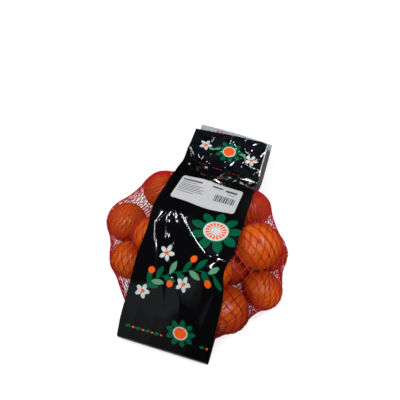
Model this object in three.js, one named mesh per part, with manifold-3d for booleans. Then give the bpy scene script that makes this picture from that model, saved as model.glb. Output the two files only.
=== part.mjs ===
// A net of clementines, lying on its back: fruit in a knitted tube net, held by a band of printed film
// that loops from a welded header, over the fruit, round a fold and back underneath to the header.
import * as THREE from "three";
import { mergeVertices } from "three/addons/utils/BufferGeometryUtils.js";
import Module from "manifold-3d";

// Driving dimensions in millimetres: +Y runs to the header, +Z up from the table
const BAND_WIDTH = 110;
const BAND_LENGTH = 317;
const FILM = 0.8;
const FOLD_RADIUS = 5;
const FOLD_TURN = THREE.MathUtils.degToRad(130);
const HEADER_OVERHANG = 6;
const BACK_SHIFT = 6;
const BACK_SLANT = -0.085;
const WELD_Y = 89;
const WELD_SLANT = -0.097;
const WELD_HEIGHT = 26;
const HEADER_END_HEIGHT = 22.5;
const BACK_LIFT_Y = 60;
const WELD_BITE = 0.1;
const FILM_OVER_NET = 1.6;
const NET_OVER_FILM = 0.6;
// Beside the band the net comes down to the table over a short ramp [from, to]
const FLOOR_RAMP = [6, 11];
const ABOVE_ALL = 125;

// Each fruit's place and diameter [x, y, across]: those on the table, then those lying on them
const LOWER_FRUIT = [
  [-65, 38, 52], [-95, -19, 52], [-75, -65, 47],
  [57, 44, 48], [91, -11, 47], [93, -58, 46], [58, -93, 54], [42, -44, 47],
  [-11, 45, 52], [-44, -8, 50], [13, -1, 51], [-28, -65, 47], [5, -101, 51],
];
const UPPER_FRUIT = [[78, -26.5, 52.6], [-27, -36, 51], [30, -68, 51]];
const NET_THICKNESS = 1.2;

// The net is drawn together at four points across each end
const GATHER_X = [-42, -14, 14, 42];
const GATHER_RADIUS = 4;
const FOLD_GATHER = { y: -137, z: 6, reach: 90 };
const HEADER_GATHER = { y: 75, z: 27, reach: 58 };
const GATHER_END = 0.7 * GATHER_RADIUS;
// The heap's middle height, and where along the net it is reached and left again
const HEAP = { z: 24, from: -100, to: 50 };
// Balls inside the heap that close the hollows between the fruit [y, z, radius]
const CORE = [[-137, 6, 4], [-95, 20, 16], [45, 24, 20], [75, 27, 4]];
const SPAN_GAP = 34;
const SPAN_SAG = 0.12;
const SKIN_BLEND = 3;

// Mesh steps along and round the pieces
const NET_RINGS = 46;
const NET_SIDES = 66;
const FILM_COLUMNS = 14;
const DRAPE_ROWS = 56;
const FOLD_ROWS = 8;
const FLAT_ROWS = 8;
const LIFT_ROWS = 10;
const BACK_ROWS = 23;

// The label, stuck on the film below the header
const LABEL = { width: 82, height: 48, corner: 3, x: 0, y: 28, turn: -0.05, thickness: 0.35, gap: 0.7 };
const LABEL_STEPS = [16, 10];

const wasm = await Module();
wasm.setup();

function solidOf(geometry) {
  geometry.deleteAttribute("normal");
  geometry.deleteAttribute("uv");
  const merged = mergeVertices(geometry, 1e-4);
  return new wasm.Manifold(new wasm.Mesh({
    numProp: 3,
    vertProperties: Float32Array.from(merged.attributes.position.array),
    triVerts: Uint32Array.from(merged.index.array),
  }));
}

function meshOf(name, solid, colour, roughness) {
  const { vertProperties, triVerts } = solid.getMesh();
  const geometry = new THREE.BufferGeometry();
  geometry.setAttribute("position", new THREE.BufferAttribute(vertProperties, 3));
  geometry.setIndex(new THREE.BufferAttribute(triVerts, 1));
  geometry.computeVertexNormals();
  const mesh = new THREE.Mesh(geometry, new THREE.MeshStandardMaterial({ color: colour, roughness }));
  mesh.name = name;
  return mesh;
}

function reshape(geometry, place) {
  const position = geometry.attributes.position;
  const point = new THREE.Vector3();
  for (let i = 0; i < position.count; i += 1) {
    point.copy(place(point.fromBufferAttribute(position, i)));
    position.setXYZ(i, point.x, point.y, point.z);
  }
  return geometry;
}

// Fruit: the lower ones lie on the table, and each upper one is let down until it meets another
function settledFruit() {
  const lower = LOWER_FRUIT.map(([x, y, across]) => {
    const radius = across / 2;
    return { x, y, z: radius + NET_THICKNESS, radius };
  });
  const upper = UPPER_FRUIT.map(([x, y, across]) => {
    const radius = across / 2;
    const heights = lower.map((below) => {
      const contact = radius + below.radius;
      const aside = Math.hypot(x - below.x, y - below.y);
      return aside < contact ? below.z + Math.sqrt(contact ** 2 - aside ** 2) : 0;
    });
    return { x, y, z: Math.max(...heights), radius };
  });
  return [...lower, ...upper];
}

// Net: it spans tightly from fruit to fruit, and from the outer fruit to the points where it is gathered
const fruit = settledFruit();
const core = CORE.map(([y, z, radius]) => ({ x: 0, y, z, radius }));
const gathersAt = ({ y, z }) => GATHER_X.map((x) => ({ x, y, z, radius: GATHER_RADIUS }));

function netSpans() {
  const spans = [];
  const between = (a, b) => Math.hypot(a.x - b.x, a.y - b.y, a.z - b.z);
  const linkNear = (balls) => {
    balls.forEach((a, i) => {
      balls.slice(i + 1).forEach((b) => {
        if (between(a, b) - a.radius - b.radius < SPAN_GAP) spans.push([a, b]);
      });
    });
  };
  linkNear(fruit);
  core.slice(1).forEach((ball, i) => spans.push([core[i], ball]));
  [FOLD_GATHER, HEADER_GATHER].forEach((end) => {
    const gathers = gathersAt(end);
    linkNear(gathers);
    gathers.forEach((gather) => {
      fruit.slice(0, LOWER_FRUIT.length).forEach((ball) => {
        if (Math.hypot(ball.x - gather.x, ball.y - gather.y) < end.reach) spans.push([ball, gather]);
      });
    });
  });
  return spans;
}

const spans = netSpans();
const balls = [...fruit, ...core, ...gathersAt(FOLD_GATHER), ...gathersAt(HEADER_GATHER)];

// Distance to a span, and its weight in the skin: none at its ends, where the ball itself counts
function spanDistance([a, b], x, y, z) {
  const across = [b.x - a.x, b.y - a.y, b.z - a.z];
  const length2 = across[0] ** 2 + across[1] ** 2 + across[2] ** 2;
  const dot = (x - a.x) * across[0] + (y - a.y) * across[1] + (z - a.z) * across[2];
  const t = THREE.MathUtils.clamp(dot / length2, 0, 1);
  const weight = 4 * t * (1 - t);
  const sag = SPAN_SAG * Math.min(a.radius, b.radius) * weight;
  const radius = a.radius + (b.radius - a.radius) * t - sag;
  const aside = Math.hypot(x - a.x - across[0] * t, y - a.y - across[1] * t, z - a.z - across[2] * t);
  return [aside - radius, weight];
}

function skinDistance(x, y, z) {
  const weighed = [
    ...balls.map((ball) => [Math.hypot(x - ball.x, y - ball.y, z - ball.z) - ball.radius, 1]),
    ...spans.map((span) => spanDistance(span, x, y, z)),
  ];
  const nearest = Math.min(...weighed.map(([distance]) => distance));
  const blended = weighed.reduce(
    (sum, [distance, weight]) => sum + weight * Math.exp((nearest - distance) / SKIN_BLEND), 0);
  return nearest - SKIN_BLEND * Math.log(blended) - NET_THICKNESS;
}

// First place on a straight line from far to near that lies inside the net, or null
function firstInside(far, near) {
  const coarse = 60;
  const at = (t) => far.map((value, axis) => value + (near[axis] - value) * t);
  const isInside = (t) => {
    const [x, y, z] = at(t);
    return z > netFloor(x, y) && skinDistance(x, y, z) < 0;
  };
  for (let i = 1; i <= coarse; i += 1) {
    if (isInside(i / coarse)) {
      let outside = (i - 1) / coarse;
      let inside = i / coarse;
      for (let halving = 0; halving < 9; halving += 1) {
        const middle = (outside + inside) / 2;
        if (isInside(middle)) inside = middle;
        else outside = middle;
      }
      return at(inside);
    }
  }
  return null;
}

// Back film: flat on the table, then lifted to the weld and straight on as the header
const headerHeight = (y) => THREE.MathUtils.mapLinear(
  y, WELD_Y, BAND_LENGTH / 2, WELD_HEIGHT, HEADER_END_HEIGHT);
const backShift = (y) => BACK_SHIFT * THREE.MathUtils.smoothstep(y, BACK_LIFT_Y, WELD_Y);

function backFilmUnderside(y) {
  const weldEnd = WELD_Y - BAND_WIDTH / 2 * Math.abs(WELD_SLANT);
  const lift = THREE.MathUtils.smoothstep(y, BACK_LIFT_Y, weldEnd);
  return lift * (headerHeight(Math.max(y, weldEnd)) - FILM + WELD_BITE);
}

function netFloor(x, y) {
  const beside = Math.abs(x - backShift(y)) - BAND_WIDTH / 2;
  const [from, to] = FLOOR_RAMP;
  const overBand = 1 - THREE.MathUtils.clamp((beside - from) / (to - from), 0, 1);
  return overBand * (backFilmUnderside(y) + FILM + NET_OVER_FILM);
}

function netSolid() {
  const first = FOLD_GATHER.y - GATHER_END;
  const last = HEADER_GATHER.y + GATHER_END;
  const reach = { x: 190, z: 130 };
  const middleHeight = (y) => {
    const fromFold = THREE.MathUtils.smoothstep(y, first, HEAP.from);
    const toHeader = THREE.MathUtils.smoothstep(y, HEAP.to, last);
    return THREE.MathUtils.lerp(FOLD_GATHER.z, HEAP.z, fromFold) + (HEADER_GATHER.z - HEAP.z) * toHeader;
  };
  const tube = new THREE.CylinderGeometry(1, 1, 1, NET_SIDES, NET_RINGS);
  return solidOf(reshape(tube, ({ x, y, z }) => {
    const along = THREE.MathUtils.lerp(first, last, y + 0.5);
    const centre = [0, along, middleHeight(along)];
    const isCapMiddle = Math.hypot(x, z) < 0.5;
    if (isCapMiddle) return new THREE.Vector3(...centre);
    const far = [centre[0] + reach.x * x, along, centre[2] + reach.z * z];
    return new THREE.Vector3(...firstInside(far, centre));
  }));
}

// Front film: pulled taut from the fold to the weld over everything that stands in its way
const foldMiddleY = -BAND_LENGTH / 2 + FOLD_RADIUS;
const drapeStartY = foldMiddleY - FOLD_RADIUS * Math.sin(FOLD_TURN);
const drapeStartZ = FOLD_RADIUS * (1 - Math.cos(FOLD_TURN)) - FILM;
const drapeY = (row) => THREE.MathUtils.lerp(drapeStartY, BAND_LENGTH / 2, row / DRAPE_ROWS);
const drapeX = (column) => BAND_WIDTH * (column / FILM_COLUMNS - 0.5);

function drapedHeights() {
  const crossPull = 0.8;
  const sweeps = 900;
  const heights = [];
  const lowest = [];
  const held = [];
  for (let row = 0; row <= DRAPE_ROWS; row += 1) {
    const y = drapeY(row);
    heights.push([]);
    lowest.push([]);
    held.push([]);
    for (let column = 0; column <= FILM_COLUMNS; column += 1) {
      const x = drapeX(column);
      const welded = y >= WELD_Y + WELD_SLANT * x;
      const net = welded ? null : firstInside([x, y, ABOVE_ALL], [x, y, 0]);
      lowest[row].push(net ? net[2] + FILM_OVER_NET : 0);
      held[row].push(welded || row === 0);
      heights[row].push(welded ? headerHeight(y) : drapeStartZ);
    }
  }
  for (let sweep = 0; sweep < sweeps; sweep += 1) {
    for (let row = 1; row < DRAPE_ROWS; row += 1) {
      for (let column = 0; column <= FILM_COLUMNS; column += 1) {
        if (held[row][column]) continue;
        const left = heights[row][Math.max(column - 1, 0)];
        const right = heights[row][Math.min(column + 1, FILM_COLUMNS)];
        const along = heights[row - 1][column] + heights[row + 1][column];
        const taut = (along + crossPull * (left + right)) / (2 + 2 * crossPull);
        heights[row][column] = Math.max(taut, lowest[row][column]);
      }
    }
  }
  return heights;
}

const draped = drapedHeights();

// Where the film lies at a distance from its centre line, measured along the film itself
function acrossFilm(row, distance) {
  const heights = draped[row];
  const step = Math.sign(distance);
  let column = FILM_COLUMNS / 2;
  let left = Math.abs(distance);
  const pitch = BAND_WIDTH / FILM_COLUMNS;
  while (left > 0 && column + step >= 0 && column + step <= FILM_COLUMNS) {
    const length = Math.hypot(pitch, heights[column + step] - heights[column]);
    const part = Math.min(1, left / length);
    if (part < 1 || left === length) {
      const z = THREE.MathUtils.lerp(heights[column], heights[column + step], part);
      return [drapeX(column) + step * pitch * part, z];
    }
    left -= length;
    column += step;
  }
  return [drapeX(column), heights[column]];
}

function frontFilmPoint(column, row, upper) {
  const across = drapeX(column);
  if (row < FOLD_ROWS) {
    const turn = FOLD_TURN * row / FOLD_ROWS;
    const radius = upper ? FOLD_RADIUS : FOLD_RADIUS - FILM;
    const y = foldMiddleY - radius * Math.sin(turn);
    return new THREE.Vector3(across, y, FOLD_RADIUS - radius * Math.cos(turn));
  }
  const [x, z] = acrossFilm(row - FOLD_ROWS, across);
  return new THREE.Vector3(x, drapeY(row - FOLD_ROWS), z + (upper ? FILM : 0));
}

// The back film's rows are close together only where it lifts
function backRowY(row) {
  if (row < FLAT_ROWS) return THREE.MathUtils.lerp(foldMiddleY - 1, BACK_LIFT_Y, row / FLAT_ROWS);
  if (row < FLAT_ROWS + LIFT_ROWS) {
    return THREE.MathUtils.lerp(BACK_LIFT_Y, WELD_Y, (row - FLAT_ROWS) / LIFT_ROWS);
  }
  const headerPart = (row - FLAT_ROWS - LIFT_ROWS) / (BACK_ROWS - FLAT_ROWS - LIFT_ROWS);
  return THREE.MathUtils.lerp(WELD_Y, BAND_LENGTH / 2 + HEADER_OVERHANG, headerPart);
}

function filmBandSolid() {
  const frontRows = FOLD_ROWS + DRAPE_ROWS;
  const sheet = (rows) => new THREE.BoxGeometry(1, 1, 1, FILM_COLUMNS, rows, 1);
  const front = reshape(sheet(frontRows), ({ x, y, z }) => frontFilmPoint(
    Math.round((x + 0.5) * FILM_COLUMNS), Math.round((y + 0.5) * frontRows), z > 0));
  const back = reshape(sheet(BACK_ROWS), ({ x, y, z }) => {
    const straight = backRowY(Math.round((y + 0.5) * BACK_ROWS));
    const across = x * BAND_WIDTH;
    const pastWeld = THREE.MathUtils.smoothstep(straight, WELD_Y, BAND_LENGTH / 2);
    const along = straight + BACK_SLANT * across * pastWeld;
    const height = backFilmUnderside(along) + (z > 0 ? FILM : 0);
    return new THREE.Vector3(across + backShift(straight), along, height);
  });
  return solidOf(front).add(solidOf(back));
}

// Label: a paper sticker that follows the film
function filmTop(x, y) {
  const row = THREE.MathUtils.clamp((y - drapeStartY) / (BAND_LENGTH / 2 - drapeStartY), 0, 1) * DRAPE_ROWS;
  const column = (x / BAND_WIDTH + 0.5) * FILM_COLUMNS;
  const r = Math.min(Math.floor(row), DRAPE_ROWS - 1);
  const c = Math.min(Math.floor(column), FILM_COLUMNS - 1);
  const near = THREE.MathUtils.lerp(draped[r][c], draped[r][c + 1], column - c);
  const far = THREE.MathUtils.lerp(draped[r + 1][c], draped[r + 1][c + 1], column - c);
  return THREE.MathUtils.lerp(near, far, row - r) + FILM;
}

function labelSolid() {
  const { width, height, corner, x: midX, y: midY, turn, thickness, gap } = LABEL;
  const turned = (x, y) => [
    midX + x * Math.cos(turn) - y * Math.sin(turn), midY + x * Math.sin(turn) + y * Math.cos(turn)];
  const margin = 4;
  const blank = new THREE.BoxGeometry(width + margin, height + margin, 1, ...LABEL_STEPS, 1);
  const sheet = reshape(blank, ({ x, y, z }) => {
    const [atX, atY] = turned(x, y);
    return new THREE.Vector3(atX, atY, filmTop(atX, atY) + gap + (z > 0 ? thickness : 0));
  });
  const outline = new THREE.Shape();
  const [halfX, halfY] = [width / 2 - corner, height / 2 - corner];
  outline.absarc(halfX, halfY, corner, 0, Math.PI / 2);
  outline.absarc(-halfX, halfY, corner, Math.PI / 2, Math.PI);
  outline.absarc(-halfX, -halfY, corner, Math.PI, Math.PI * 1.5);
  outline.absarc(halfX, -halfY, corner, Math.PI * 1.5, Math.PI * 2);
  const through = { depth: ABOVE_ALL, bevelEnabled: false, curveSegments: 4 };
  const cutter = new THREE.ExtrudeGeometry(outline, through);
  cutter.rotateZ(turn).translate(midX, midY, 0);
  return solidOf(sheet).intersect(solidOf(cutter));
}

const netOfClementines = new THREE.Group();
netOfClementines.add(
  meshOf("net_of_fruit", netSolid(), 0xc9501f, 0.6),
  meshOf("film_band", filmBandSolid(), 0x17181b, 0.25),
  meshOf("price_label", labelSolid(), 0xf1f1ee, 0.5),
);

export default netOfClementines;
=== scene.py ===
import bpy
import numpy as np
from mathutils import Matrix, Vector
from mathutils.bvhtree import BVHTree


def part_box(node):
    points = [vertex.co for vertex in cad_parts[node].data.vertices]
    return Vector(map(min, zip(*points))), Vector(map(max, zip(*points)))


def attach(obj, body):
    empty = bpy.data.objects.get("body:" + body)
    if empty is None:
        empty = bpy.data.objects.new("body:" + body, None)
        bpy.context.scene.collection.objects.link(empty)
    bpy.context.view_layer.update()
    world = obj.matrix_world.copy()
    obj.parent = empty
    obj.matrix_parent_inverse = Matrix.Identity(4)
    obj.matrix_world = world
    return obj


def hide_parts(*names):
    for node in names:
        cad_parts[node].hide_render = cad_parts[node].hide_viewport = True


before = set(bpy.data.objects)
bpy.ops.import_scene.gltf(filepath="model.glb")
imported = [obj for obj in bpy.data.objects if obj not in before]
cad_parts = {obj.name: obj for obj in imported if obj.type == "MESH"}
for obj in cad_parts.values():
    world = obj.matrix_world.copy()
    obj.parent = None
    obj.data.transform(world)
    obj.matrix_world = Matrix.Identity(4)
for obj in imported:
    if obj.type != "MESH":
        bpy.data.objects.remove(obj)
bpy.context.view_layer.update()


# Clementines: sixteen loose fruit heaped two deep. Each is a slightly flattened ball of waxy, pored peel
# with a dry stalk button in a dimple at one end and a small scar at the other. Lengths are in millimetres.
MM = 0.001
LOWER_FRUIT = [  # x, y and diameter of those on the table
    (-65, 38, 51), (-95, -20.5, 50.5), (-73.5, -69, 47.5), (57, 44, 48), (91, -11, 47), (93.5, -60, 47.5),
    (58, -96, 56), (50, -41, 48), (-11, 45, 52), (-44, -8, 50), (13, -1, 51), (-26.5, -64, 47),
    (4, -101.5, 51),
]
UPPER_FRUIT = [(77, -27, 53.4), (-49, -43, 45), (30, -68, 51)]  # those lying on them
UNDER_FRUIT = 1.2  # room for net and film between the fruit and the table
FRUIT_FULLNESS = 1.03
# Each fruit's redness is partly its own ripeness and partly painted shade: the front right fruit is darker
# for the shade it lies in
FRUIT_REDNESS_AND_SHADE = [0.35, 0.15, 0.25, 0.4, 0.35, 0.15, 0.8, 0.8, 0.4, 0.6, 0.4, 0.6, 0.45, 0.3, 0.4, 0.4]
FRUIT_FLATNESS, FRUIT_TILTS, FRUIT_HEADINGS = (0.93, 0.97), (1.3, 1.9), (2.2, 4.1)
SCAR_UP_FRUIT, SCAR_UP_TILT, SCAR_UP_HEADING = 13, np.pi + 0.2, 0.1  # the one with its scar on top
FRUIT_RINGS, FRUIT_SIDES = 46, 72
FRUIT_WAVES = ((1.6, 0.012), (3.1, 0.008), (5.5, 0.004))  # unevenness: waves and their share of the radius
RIB_COUNTS, RIB_HEIGHT, RIB_REACH = (7, 11), 0.010, 0.45  # a reach is an angle from the fruit's end
BUTTON_HEIGHT, BUTTON_REACH, BUTTON_POINTS, BUTTON_POINTEDNESS = 0.9, 0.105, 5, 0.25
DIMPLE_DEPTH, DIMPLE_REACH = 1.9, 0.26
SCAR_DEPTH, SCAR_REACH = 0.5, 0.075
SCAR_DIMPLE_DEPTH, SCAR_DIMPLE_REACH = 0.8, 0.16
HOLLOW_WIDTH = 14  # a gap to the next fruit below this counts as a hollow
PALE_PEEL, MIDDLE_PEEL, RED_AND_SHADED_PEEL = (0.62, 0.125, 0.003), (0.56, 0.09, 0.003), (0.30, 0.022, 0.001)
# painted shade: the darker, redder peel in the hollows between fruit
HOLLOW_SHADE_PEEL = (0.34, 0.016, 0.003)
BUTTON_COLOUR, SCAR_COLOUR = (0.10, 0.09, 0.02), (0.10, 0.04, 0.01)
BLOTCH_SCALE, BLOTCH_STRENGTH = 60.0, 0.5
PORE_SCALE, PORE_STRENGTH, PORE_DEPTH = 750.0, 0.7, 0.0004
draw = np.random.default_rng(11)


def smooth_step(start, end, value):
    """0 at start, 1 at end, with an even rise between them."""
    part = np.clip((value - start) / (end - start), 0, 1)
    return part * part * (3 - 2 * part)


def grid_faces(rows, columns, wrap=False):
    """The quads of a grid of points counted row by row; wrap joins the last column to the first."""
    row, column = np.mgrid[0:rows - 1, 0:columns if wrap else columns - 1]
    after = (column + 1) % columns
    corners = [row * columns + column, row * columns + after,
               (row + 1) * columns + after, (row + 1) * columns + column]
    return np.stack(corners, -1).reshape(-1, 4)


def add_piece(name, points, faces, *materials):
    mesh = bpy.data.meshes.new(name)
    mesh.from_pydata((np.asarray(points) * MM).tolist(), [], faces)
    for material in materials:
        mesh.materials.append(material)
    mesh.polygons.foreach_set("use_smooth", np.ones(len(mesh.polygons), bool))
    piece = bpy.data.objects.new(name, mesh)
    bpy.context.scene.collection.objects.link(piece)
    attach(piece, "root")
    return piece


def add_values(piece, name, values):
    """Stores one number for each point of a piece, for its material to read."""
    attribute = piece.data.attributes.new(name, "FLOAT", "POINT")
    attribute.data.foreach_set("value", np.asarray(values, np.float32))


def add_material(name, colour, roughness, specular):
    material = bpy.data.materials.new(name)
    material.use_nodes = True
    shader = material.node_tree.nodes["Principled BSDF"]
    shader.inputs["Base Color"].default_value = (*colour, 1)
    shader.inputs["Roughness"].default_value = roughness
    shader.inputs["Specular IOR Level"].default_value = specular
    return material


def add_node(material, kind, inputs=(), **settings):
    """A shader node; inputs pairs each socket's number or name with a value or with another node's output."""
    node = material.node_tree.nodes.new("ShaderNode" + kind)
    for key, value in settings.items():
        setattr(node, key, value)
    for key, value in dict(inputs).items():
        if isinstance(value, bpy.types.NodeSocket):
            material.node_tree.links.new(value, node.inputs[key])
        else:
            node.inputs[key].default_value = value
    return node


def stored(material, name):
    """The numbers that add_values stored under a name."""
    return add_node(material, "Attribute", attribute_name=name).outputs["Fac"]


def place_on(material):
    return add_node(material, "TexCoord").outputs["Object"]


def mixed(material, factor, first, second):
    """A colour that goes from first to second by factor."""
    ends = [end if isinstance(end, bpy.types.NodeSocket) else (*end, 1) for end in (first, second)]
    return add_node(material, "Mix", {0: factor, 6: ends[0], 7: ends[1]}, data_type="RGBA").outputs[2]


def set_input(material, name, value):
    shader = material.node_tree.nodes["Principled BSDF"]
    material.node_tree.links.new(value, shader.inputs[name])


def set_bump(material, height, strength, depth):
    bump = add_node(material, "Bump", {"Strength": strength, "Distance": depth, "Height": height})
    set_input(material, "Normal", bump.outputs["Normal"])


def settled_fruit():
    """The middle and radius of each fruit, with the upper ones let down on to those below."""
    placed = [(x, y, across / 2 + UNDER_FRUIT, across / 2) for x, y, across in LOWER_FRUIT]
    for x, y, across in UPPER_FRUIT:
        heights = [0]
        for below_x, below_y, below_z, below_radius in placed[:len(LOWER_FRUIT)]:
            contact = across / 2 + below_radius
            aside = np.hypot(x - below_x, y - below_y)
            if aside < contact:
                heights.append(below_z + np.sqrt(contact ** 2 - aside ** 2))
        placed.append((x, y, max(heights), across / 2))
    return placed


def fruit_turn(tilt, heading, spin):
    return (Matrix.Rotation(heading, 3, "Z") @ Matrix.Rotation(tilt, 3, "X")
            @ Matrix.Rotation(spin, 3, "Z"))


def fruit_shape(radius, flatness):
    """Points of one fruit with its stalk up, and how far each is stalk or scar."""
    down = np.linspace(0, np.pi, FRUIT_RINGS + 1)[:, None]
    around = np.linspace(0, 2 * np.pi, FRUIT_SIDES, endpoint=False)[None, :]
    out = np.stack([np.sin(down) * np.cos(around), np.sin(down) * np.sin(around),
                    np.cos(down) + 0 * around], -1)
    swell = np.ones(out.shape[:2])
    for size, amount in FRUIT_WAVES:
        swell += amount * np.cos(size * out @ draw.normal(size=3) + draw.uniform(0, 2 * np.pi))
    rib_count = draw.integers(*RIB_COUNTS)
    ribs = RIB_HEIGHT * np.cos(rib_count * around + draw.uniform(0, 6))
    swell += ribs * np.sin(down) * np.exp(-(down / RIB_REACH) ** 2)
    points = radius * swell[..., None] * out * np.array([1, 1, flatness])
    from_scar = np.pi - down
    star = 1 + BUTTON_POINTEDNESS * np.cos(BUTTON_POINTS * around)
    button = np.exp(-(down / (BUTTON_REACH * star)) ** 4)
    scar = np.exp(-(from_scar / SCAR_REACH) ** 4) + 0 * around
    points[..., 2] += BUTTON_HEIGHT * button - DIMPLE_DEPTH * np.exp(-(down / DIMPLE_REACH) ** 2)
    points[..., 2] += SCAR_DIMPLE_DEPTH * np.exp(-(from_scar / SCAR_DIMPLE_REACH) ** 2) + SCAR_DEPTH * scar
    return points, button, scar


def joined_ends(values):
    """The values of a fruit's rings in one row, with a single one for each of its two ends."""
    return np.concatenate([values[0, :1], values[1:-1].reshape(-1, *values.shape[2:]), values[-1, :1]])


def fruit_faces(first):
    """The quads between a fruit's rings and the triangles round its ends, for points counted from first."""
    quads = grid_faces(FRUIT_RINGS - 1, FRUIT_SIDES, wrap=True)[:, ::-1] + first + 1
    last = first + (FRUIT_RINGS - 1) * FRUIT_SIDES + 1
    side = np.arange(FRUIT_SIDES)
    after = (side + 1) % FRUIT_SIDES
    stalk_end = np.stack([0 * side + first, first + 1 + side, first + 1 + after], -1)
    scar_end = np.stack([0 * side + last, last - FRUIT_SIDES + after, last - FRUIT_SIDES + side], -1)
    return quads.tolist() + stalk_end.tolist() + scar_end.tolist()


def gap_to_fruit(points, middle, turn, radii):
    """How far points lie outside one fruit."""
    reach = np.linalg.norm((points - middle) @ turn / radii, axis=-1)
    return (reach - 1) * radii.mean()


fruit, fruit_points, all_fruit_faces = [], [], []
fruit_values = {"tint_and_shade": [], "painted_hollow_shade": [], "button": [], "scar": []}
for number, (x, y, z, radius) in enumerate(settled_fruit()):
    flatness = draw.uniform(*FRUIT_FLATNESS)
    tilt, heading = draw.uniform(*FRUIT_TILTS), draw.uniform(*FRUIT_HEADINGS)
    if number == SCAR_UP_FRUIT:
        tilt, heading = SCAR_UP_TILT, SCAR_UP_HEADING
    radius *= FRUIT_FULLNESS
    turn = np.array(fruit_turn(tilt, heading, draw.uniform(0, 6)))
    middle = np.array([x, y, z])
    shape, button, scar = (joined_ends(values) for values in fruit_shape(radius, flatness))
    fruit.append((middle, turn, radius * np.array([1, 1, flatness])))
    all_fruit_faces += fruit_faces(number * len(shape))
    fruit_points.append(shape @ turn.T + middle)
    fruit_values["tint_and_shade"].append(np.full(len(shape), FRUIT_REDNESS_AND_SHADE[number]))
    fruit_values["button"].append(button)
    fruit_values["scar"].append(scar)

# Between the fruit the peel is painted darker and redder: painted shade, with the red light that comes
# through the net
for number, points in enumerate(fruit_points):
    other_fruit = fruit[:number] + fruit[number + 1:]
    gap = np.min([gap_to_fruit(points, *other) for other in other_fruit], axis=0)
    fruit_values["painted_hollow_shade"].append(smooth_step(HOLLOW_WIDTH, 0, gap))

peel = add_material("clementine_peel", MIDDLE_PEEL, roughness=0.20, specular=0.40)
place = place_on(peel)
blotches = add_node(peel, "TexNoise", {"Vector": place, "Scale": BLOTCH_SCALE, "Detail": 2.0}).outputs["Fac"]
blotches = add_node(peel, "Math", {0: blotches, 1: BLOTCH_STRENGTH}, operation="MULTIPLY").outputs[0]
# redness: each fruit's own tone, with painted shade on the fruit that lies in shade
peel_colour = mixed(peel, stored(peel, "tint_and_shade"), PALE_PEEL, RED_AND_SHADED_PEEL)
peel_colour = mixed(peel, blotches, peel_colour, MIDDLE_PEEL)
# The button and scar are the peel's own colours; the hollow's colour is painted shade
for name, colour in (("button", BUTTON_COLOUR), ("scar", SCAR_COLOUR), ("painted_hollow_shade", HOLLOW_SHADE_PEEL)):
    peel_colour = mixed(peel, stored(peel, name), peel_colour, colour)
set_input(peel, "Base Color", peel_colour)
pores = add_node(peel, "TexVoronoi", {"Vector": place, "Scale": PORE_SCALE}).outputs["Distance"]
set_bump(peel, pores, PORE_STRENGTH, PORE_DEPTH)

clementines = add_piece("clementines", np.concatenate(fruit_points), all_fruit_faces, peel)
for name, parts in fruit_values.items():
    add_values(clementines, name, np.concatenate(parts))
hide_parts("net_of_fruit")


# Net: a tube of crimson plastic yarn in two layers that slant opposite ways and are bonded where they cross.
# It is gathered at the header and fans out over the fruit, and its end lies flat between the two films.
# Its sides are numbered 1 on the right and -1 on the left.
GATHER_Y, FIRST_ROW, LAST_ROW = 110, 30, 330  # where the columns meet, and the rows' distances from there
FAN_STEP = {1: 0.066, -1: 0.042}  # turn between two columns of meshes
# The turn up to which the columns keep that step, at three distances
FAN_OUT, FAN_WIDE = (130, 210, 250), {1: (0.62, 0.56, 0.34), -1: (0.80, 0.52, 0.32)}
FAN_NARROWING = {1: 0.5, -1: 0.6}  # how close the columns lie past those turns
FAR_GATHER, FAR_GATHER_Y = 0.4, (-70, -138)  # how much closer the columns are again at the far end
NET_INSET = 0.6  # the yarn's middle under the net's outline
YARN_LENGTH, LEAST_ROW_GAP = 9.2, 3  # yarn between two crossings
RING_POINTS, RING_GAP, FIRST_RING, LAST_RING = 240, 2.0, 1.5, 1.4  # the last two from the ends
EDGE_WIDTH = 20  # crossings this near the edges of the surface stay where they are
SETTLING_ROUNDS, ROUNDS_ON_SURFACE = 40, 5
EVENING, TIGHTENING = 0.015, 0.20
YARN_HALF_WIDTH, YARN_HALF_DEPTH = {1: 0.62, -1: 0.48}, 0.36  # finer on the left, where it is stretched
STRAND_WIDTH, KNOT_WIDENING, STRAND_DEPTH, KNOT_DEEPENING = 0.85, 0.35, 0.9, 0.3  # shares of those
YARN_STEPS, YARN_SIDES, LEAST_CROSSINGS = 4, 6, 3
YARN_GAP, KNOT_GAP = 0.55, 0.5  # between fruit and the middle of the yarn
BACK_FILM_TOP, BACK_FILM_REACH = 0.35, 57
FILM_HALF_WIDTH = 55
TAIL_HALF_WIDTH, TAIL_START, TAIL_END, TAIL_MESH = FILM_HALF_WIDTH - 6, 74, 150, 6
TAIL_PEEP, PEEP_X, PEEP_HALF_WIDTH = 14, -18, 13  # where the net's end sticks out further
TAIL_DEPTH, TAIL_DEPTH_IN_HEAP = 0.8, 0.7  # under the front film
TAIL_SAMPLE_END = 155  # from here on the film is taken as level
TAIL_FLAT_Y, TAIL_FLATNESS = 92, 0.45
NET_LAYERS = (("net_outer_yarns", 1, 0.28), ("net_inner_yarns", -1, -0.18))  # name, slant and lift
# painted shade: the yarn's darker colours where it lies on or over fruit, darkest over the reddest fruit
CRIMSON, CRIMSON_SHADED_ON_PEEL, CRIMSON_SHADED_ON_RED = (0.48, 0.012, 0.044), (0.42, 0.008, 0.012), (0.20, 0.003, 0.005)
TINT_GAPS, TINT_DROPS = (8, 3), range(0, 36, 4)  # how near and how far below it fruit tints the yarn
RED_FRUIT = (0.5, 0.9)
RAY_START, RING_RAY_START = 500, 400  # well outside the pack


def surface_of(node):
    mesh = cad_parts[node].data
    return BVHTree.FromPolygons([vertex.co / MM for vertex in mesh.vertices],
                                [tuple(face.vertices) for face in mesh.polygons])


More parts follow.
